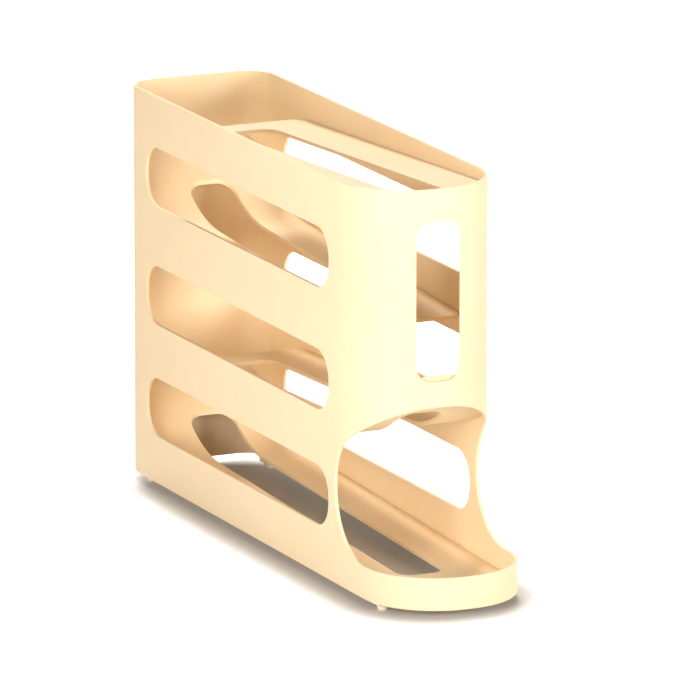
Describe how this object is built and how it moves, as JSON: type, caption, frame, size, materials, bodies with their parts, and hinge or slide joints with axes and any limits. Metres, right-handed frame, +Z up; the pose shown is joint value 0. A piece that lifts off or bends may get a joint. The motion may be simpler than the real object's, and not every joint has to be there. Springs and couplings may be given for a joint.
{
  "type": "rolling egg storage box",
  "caption": "Tall narrow plastic egg box with a round front: sloping inner tracks roll eggs from the open top down to a low lip under an arched mouth, with long side windows.",
  "frame": {"origin": "on the surface that the feet stand on, under the middle of the whole box, lip included", "axes": "+X to the right seen from the front, +Y from the lip to the back wall, +Z up"},
  "size_m": [0.088, 0.37, 0.2307],
  "materials": {
    "shell_plastic": "satin cream moulded plastic",
    "track_plastic": "satin cream moulded plastic",
    "foot_pad": "soft matte pad"
  },
  "bodies": {
    "root": {"outer_shell": "shell_plastic", "top_track": "track_plastic", "second_track": "track_plastic", "third_track": "track_plastic", "bottom_track": "track_plastic", "foot_front_left": "foot_pad", "foot_front_right": "foot_pad", "foot_back_left": "foot_pad", "foot_back_right": "foot_pad"}
  },
  "joints": []
}
